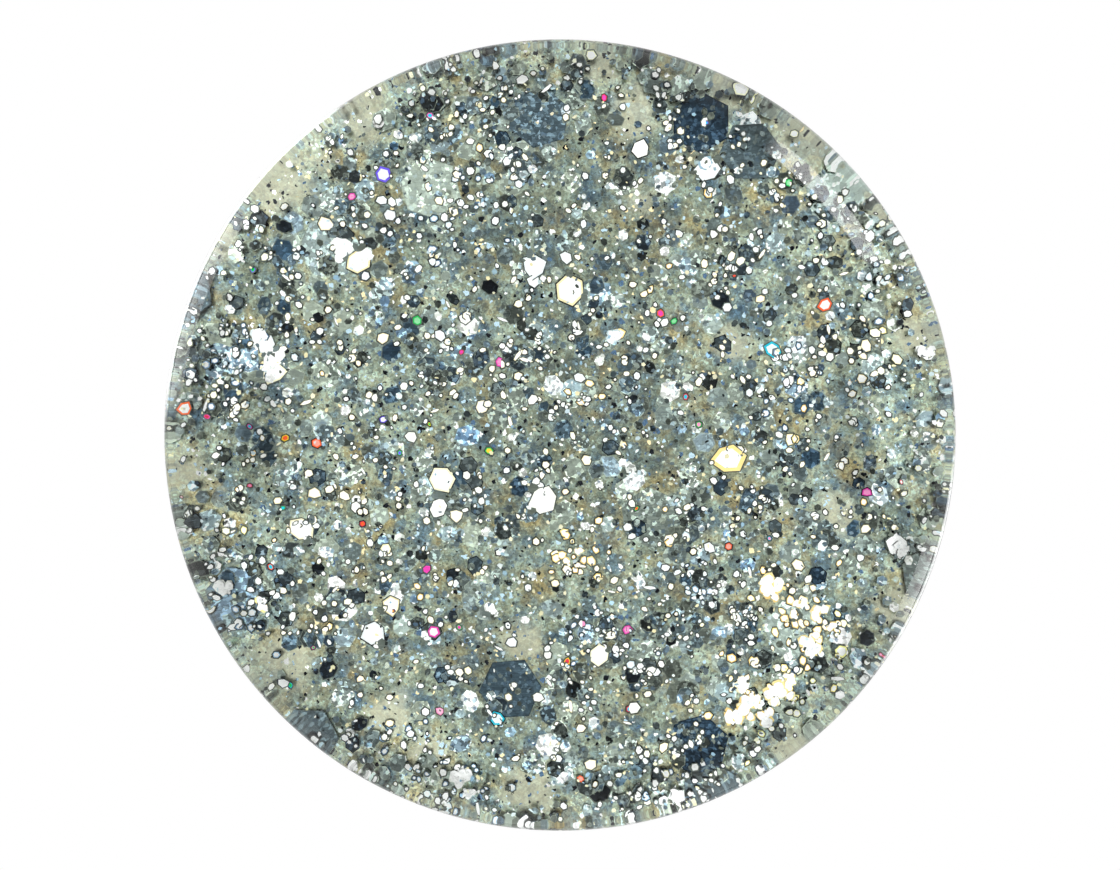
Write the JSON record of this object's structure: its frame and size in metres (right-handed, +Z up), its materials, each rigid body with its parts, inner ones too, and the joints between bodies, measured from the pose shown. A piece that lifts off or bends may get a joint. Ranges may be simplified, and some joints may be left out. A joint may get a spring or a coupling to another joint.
{
  "type": "nail polish bottle",
  "caption": "Round glass nail polish bottle with a screw cap and fixed brush, filled with hexagonal glitter polish.",
  "frame": {"origin": "centre of the bottle's base, on the plane of its bearing ring", "axes": "+Z up the bottle's axis from the base through the neck and cap; the bottle is round, so +X and +Y are only fixed by where the threads start"},
  "size_m": [0.0304, 0.0304, 0.0731],
  "materials": {
    "clear_glass": "gloss",
    "glitter_polish": "gloss, sage grey base with fine glitter",
    "navy_film": "metallised film",
    "silver_film": "metallised film",
    "black_film": "metallised film",
    "gold_film": "metallised film",
    "soft_white_plastic": "natural polyethylene",
    "black_nylon": "fine nylon filament",
    "staple_steel": "plain",
    "white_plastic": "moulded polypropylene",
    "black_plastic": "satin gloss"
  },
  "bodies": {
    "bottle": {"glass_bottle": "clear_glass", "polish_liquid": "glitter_polish", "glitter_large_navy": "navy_film", "glitter_large_silver": "silver_film", "glitter_medium_silver": "silver_film", "glitter_medium_black": "black_film", "glitter_small_silver": "silver_film", "glitter_small_black": "black_film", "glitter_small_gold": "gold_film"},
    "washer": {"neck_washer": "soft_white_plastic"},
    "brush": {"brush_stem": "soft_white_plastic", "brush_bristles": "black_nylon", "brush_staple": "staple_steel"},
    "cap": {"cap_insert": "white_plastic", "cap_shell": "black_plastic"}
  },
  "joints": [
    {"name": "brush_lift", "type": "slide", "parent": "bottle", "child": "washer", "axis": [0, 0, 1], "range_m": [0, 0.05]},
    {"name": "thread_rise", "type": "slide", "parent": "washer", "child": "brush", "axis": [0, 0, 1], "range_m": [0, 0.0032]},
    {"name": "cap_turn", "type": "hinge", "parent": "brush", "child": "cap", "pos_m": [0, 0, 0.0402], "axis": [0, 0, 1], "range_deg": [0, 540]}
  ],
  "couplings": [
    {"joint": "thread_rise", "follows": "cap_turn", "m_per_rad": 0.00033688}
  ]
}
